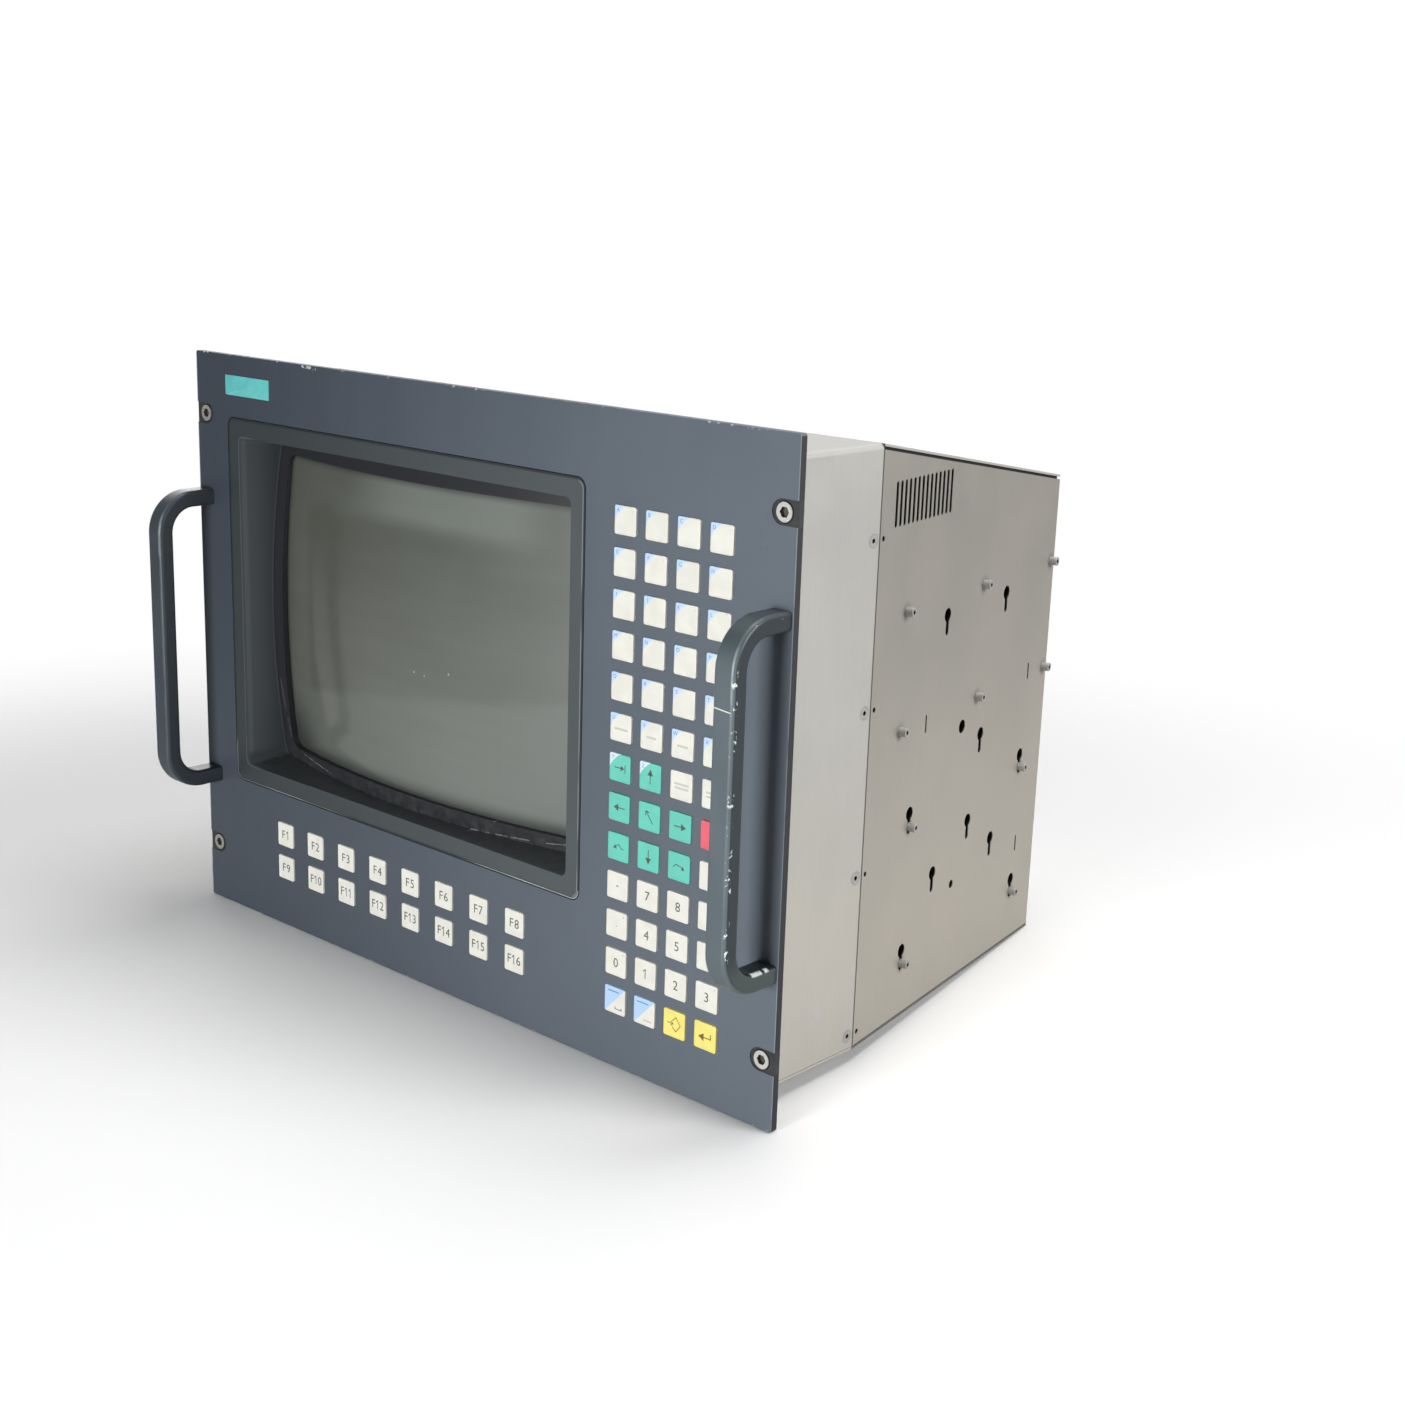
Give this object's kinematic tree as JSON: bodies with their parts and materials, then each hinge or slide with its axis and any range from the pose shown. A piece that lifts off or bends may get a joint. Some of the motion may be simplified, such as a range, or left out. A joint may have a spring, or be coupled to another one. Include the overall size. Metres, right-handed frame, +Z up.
{
  "type": "industrial operator panel",
  "caption": "Rack-mount operator panel with a picture tube screen, function keys, a keypad, two side handles and a tapered sheet metal case behind.",
  "frame": {"origin": "middle of the four rack fixings, on the plane where their bushes meet the rack rails", "axes": "+X to the right seen from the front, +Y to the rear into the rack, +Z up"},
  "size_m": [0.4826, 0.3762, 0.3548],
  "materials": {
    "panel_paint": "satin textured paint",
    "handle_paint": "semi-gloss paint, chipped",
    "bezel_plastic": "fine matt",
    "tube_glass": "polished, over grey-green phosphor",
    "black_plastic": "matt",
    "yoke_plastic": "matt",
    "circuit_board": "satin",
    "bright_steel": "bright plated",
    "frame_sheet": "satin sheet",
    "housing_sheet": "satin sheet",
    "key_white": "fine matt",
    "key_green": "fine matt",
    "key_red": "fine matt",
    "key_blue": "fine matt",
    "key_yellow": "fine matt"
  },
  "bodies": {
    "panel_unit": {"front_panel": "panel_paint", "rack_bushes": "black_plastic", "rack_screws": "bright_steel", "left_handle": "handle_paint", "right_handle": "handle_paint", "panel_screws": "bright_steel", "key_board": "circuit_board", "screen_bezel": "bezel_plastic", "picture_tube": "tube_glass", "tube_mount": "bright_steel", "deflection_yoke": "yoke_plastic", "front_frame": "frame_sheet", "rear_housing": "housing_sheet", "bottom_plate": "frame_sheet", "top_cover": "housing_sheet", "case_screws": "bright_steel", "side_studs": "bright_steel", "rear_sockets": "black_plastic", "monitor_boards": "circuit_board", "letter_keys": "key_white"},
    "key_left": {"key_left": "key_green"},
    "key_home": {"key_home": "key_green"},
    "key_right": {"key_right": "key_green"},
    "key_red": {"key_red": "key_red"},
    "key_previous": {"key_previous": "key_green"},
    "key_down": {"key_down": "key_green"},
    "key_next": {"key_next": "key_green"},
    "key_symbol": {"key_symbol": "key_white"},
    "key_minus": {"key_minus": "key_white"},
    "key_7": {"key_7": "key_white"},
    "key_8": {"key_8": "key_white"},
    "key_9": {"key_9": "key_white"},
    "key_point": {"key_point": "key_white"},
    "key_4": {"key_4": "key_white"},
    "key_5": {"key_5": "key_white"},
    "key_6": {"key_6": "key_white"},
    "key_0": {"key_0": "key_white"},
    "key_1": {"key_1": "key_white"},
    "key_2": {"key_2": "key_white"},
    "key_3": {"key_3": "key_white"},
    "key_space": {"key_space": "key_blue"},
    "key_shift": {"key_shift": "key_blue"},
    "key_input": {"key_input": "key_yellow"},
    "key_enter": {"key_enter": "key_yellow"},
    "key_f1": {"key_f1": "key_white"},
    "key_f2": {"key_f2": "key_white"},
    "key_f3": {"key_f3": "key_white"},
    "key_f4": {"key_f4": "key_white"},
    "key_f5": {"key_f5": "key_white"},
    "key_f6": {"key_f6": "key_white"},
    "key_f7": {"key_f7": "key_white"},
    "key_f8": {"key_f8": "key_white"},
    "key_f9": {"key_f9": "key_white"},
    "key_f10": {"key_f10": "key_white"},
    "key_f11": {"key_f11": "key_white"},
    "key_f12": {"key_f12": "key_white"},
    "key_f13": {"key_f13": "key_white"},
    "key_f14": {"key_f14": "key_white"},
    "key_f15": {"key_f15": "key_white"},
    "key_f16": {"key_f16": "key_white"}
  },
  "joints": [
    {"name": "key_left_press", "type": "slide", "parent": "panel_unit", "child": "key_left", "axis": [0, 1, 0], "range_m": [0, 0.0006], "stiffness_N_per_m": 1600},
    {"name": "key_home_press", "type": "slide", "parent": "panel_unit", "child": "key_home", "axis": [0, 1, 0], "range_m": [0, 0.0006], "stiffness_N_per_m": 1600},
    {"name": "key_right_press", "type": "slide", "parent": "panel_unit", "child": "key_right", "axis": [0, 1, 0], "range_m": [0, 0.0006], "stiffness_N_per_m": 1600},
    {"name": "key_red_press", "type": "slide", "parent": "panel_unit", "child": "key_red", "axis": [0, 1, 0], "range_m": [0, 0.0006], "stiffness_N_per_m": 1600},
    {"name": "key_previous_press", "type": "slide", "parent": "panel_unit", "child": "key_previous", "axis": [0, 1, 0], "range_m": [0, 0.0006], "stiffness_N_per_m": 1600},
    {"name": "key_down_press", "type": "slide", "parent": "panel_unit", "child": "key_down", "axis": [0, 1, 0], "range_m": [0, 0.0006], "stiffness_N_per_m": 1600},
    {"name": "key_next_press", "type": "slide", "parent": "panel_unit", "child": "key_next", "axis": [0, 1, 0], "range_m": [0, 0.0006], "stiffness_N_per_m": 1600},
    {"name": "key_symbol_press", "type": "slide", "parent": "panel_unit", "child": "key_symbol", "axis": [0, 1, 0], "range_m": [0, 0.0006], "stiffness_N_per_m": 1600},
    {"name": "key_minus_press", "type": "slide", "parent": "panel_unit", "child": "key_minus", "axis": [0, 1, 0], "range_m": [0, 0.0006], "stiffness_N_per_m": 1600},
    {"name": "key_7_press", "type": "slide", "parent": "panel_unit", "child": "key_7", "axis": [0, 1, 0], "range_m": [0, 0.0006], "stiffness_N_per_m": 1600},
    {"name": "key_8_press", "type": "slide", "parent": "panel_unit", "child": "key_8", "axis": [0, 1, 0], "range_m": [0, 0.0006], "stiffness_N_per_m": 1600},
    {"name": "key_9_press", "type": "slide", "parent": "panel_unit", "child": "key_9", "axis": [0, 1, 0], "range_m": [0, 0.0006], "stiffness_N_per_m": 1600},
    {"name": "key_point_press", "type": "slide", "parent": "panel_unit", "child": "key_point", "axis": [0, 1, 0], "range_m": [0, 0.0006], "stiffness_N_per_m": 1600},
    {"name": "key_4_press", "type": "slide", "parent": "panel_unit", "child": "key_4", "axis": [0, 1, 0], "range_m": [0, 0.0006], "stiffness_N_per_m": 1600},
    {"name": "key_5_press", "type": "slide", "parent": "panel_unit", "child": "key_5", "axis": [0, 1, 0], "range_m": [0, 0.0006], "stiffness_N_per_m": 1600},
    {"name": "key_6_press", "type": "slide", "parent": "panel_unit", "child": "key_6", "axis": [0, 1, 0], "range_m": [0, 0.0006], "stiffness_N_per_m": 1600},
    {"name": "key_0_press", "type": "slide", "parent": "panel_unit", "child": "key_0", "axis": [0, 1, 0], "range_m": [0, 0.0006], "stiffness_N_per_m": 1600},
    {"name": "key_1_press", "type": "slide", "parent": "panel_unit", "child": "key_1", "axis": [0, 1, 0], "range_m": [0, 0.0006], "stiffness_N_per_m": 1600},
    {"name": "key_2_press", "type": "slide", "parent": "panel_unit", "child": "key_2", "axis": [0, 1, 0], "range_m": [0, 0.0006], "stiffness_N_per_m": 1600},
    {"name": "key_3_press", "type": "slide", "parent": "panel_unit", "child": "key_3", "axis": [0, 1, 0], "range_m": [0, 0.0006], "stiffness_N_per_m": 1600},
    {"name": "key_space_press", "type": "slide", "parent": "panel_unit", "child": "key_space", "axis": [0, 1, 0], "range_m": [0, 0.0006], "stiffness_N_per_m": 1600},
    {"name": "key_shift_press", "type": "slide", "parent": "panel_unit", "child": "key_shift", "axis": [0, 1, 0], "range_m": [0, 0.0006], "stiffness_N_per_m": 1600},
    {"name": "key_input_press", "type": "slide", "parent": "panel_unit", "child": "key_input", "axis": [0, 1, 0], "range_m": [0, 0.0006], "stiffness_N_per_m": 1600},
    {"name": "key_enter_press", "type": "slide", "parent": "panel_unit", "child": "key_enter", "axis": [0, 1, 0], "range_m": [0, 0.0006], "stiffness_N_per_m": 1600},
    {"name": "key_f1_press", "type": "slide", "parent": "panel_unit", "child": "key_f1", "axis": [0, 1, 0], "range_m": [0, 0.0006], "stiffness_N_per_m": 1600},
    {"name": "key_f2_press", "type": "slide", "parent": "panel_unit", "child": "key_f2", "axis": [0, 1, 0], "range_m": [0, 0.0006], "stiffness_N_per_m": 1600},
    {"name": "key_f3_press", "type": "slide", "parent": "panel_unit", "child": "key_f3", "axis": [0, 1, 0], "range_m": [0, 0.0006], "stiffness_N_per_m": 1600},
    {"name": "key_f4_press", "type": "slide", "parent": "panel_unit", "child": "key_f4", "axis": [0, 1, 0], "range_m": [0, 0.0006], "stiffness_N_per_m": 1600},
    {"name": "key_f5_press", "type": "slide", "parent": "panel_unit", "child": "key_f5", "axis": [0, 1, 0], "range_m": [0, 0.0006], "stiffness_N_per_m": 1600},
    {"name": "key_f6_press", "type": "slide", "parent": "panel_unit", "child": "key_f6", "axis": [0, 1, 0], "range_m": [0, 0.0006], "stiffness_N_per_m": 1600},
    {"name": "key_f7_press", "type": "slide", "parent": "panel_unit", "child": "key_f7", "axis": [0, 1, 0], "range_m": [0, 0.0006], "stiffness_N_per_m": 1600},
    {"name": "key_f8_press", "type": "slide", "parent": "panel_unit", "child": "key_f8", "axis": [0, 1, 0], "range_m": [0, 0.0006], "stiffness_N_per_m": 1600},
    {"name": "key_f9_press", "type": "slide", "parent": "panel_unit", "child": "key_f9", "axis": [0, 1, 0], "range_m": [0, 0.0006], "stiffness_N_per_m": 1600},
    {"name": "key_f10_press", "type": "slide", "parent": "panel_unit", "child": "key_f10", "axis": [0, 1, 0], "range_m": [0, 0.0006], "stiffness_N_per_m": 1600},
    {"name": "key_f11_press", "type": "slide", "parent": "panel_unit", "child": "key_f11", "axis": [0, 1, 0], "range_m": [0, 0.0006], "stiffness_N_per_m": 1600},
    {"name": "key_f12_press", "type": "slide", "parent": "panel_unit", "child": "key_f12", "axis": [0, 1, 0], "range_m": [0, 0.0006], "stiffness_N_per_m": 1600},
    {"name": "key_f13_press", "type": "slide", "parent": "panel_unit", "child": "key_f13", "axis": [0, 1, 0], "range_m": [0, 0.0006], "stiffness_N_per_m": 1600},
    {"name": "key_f14_press", "type": "slide", "parent": "panel_unit", "child": "key_f14", "axis": [0, 1, 0], "range_m": [0, 0.0006], "stiffness_N_per_m": 1600},
    {"name": "key_f15_press", "type": "slide", "parent": "panel_unit", "child": "key_f15", "axis": [0, 1, 0], "range_m": [0, 0.0006], "stiffness_N_per_m": 1600},
    {"name": "key_f16_press", "type": "slide", "parent": "panel_unit", "child": "key_f16", "axis": [0, 1, 0], "range_m": [0, 0.0006], "stiffness_N_per_m": 1600}
  ]
}
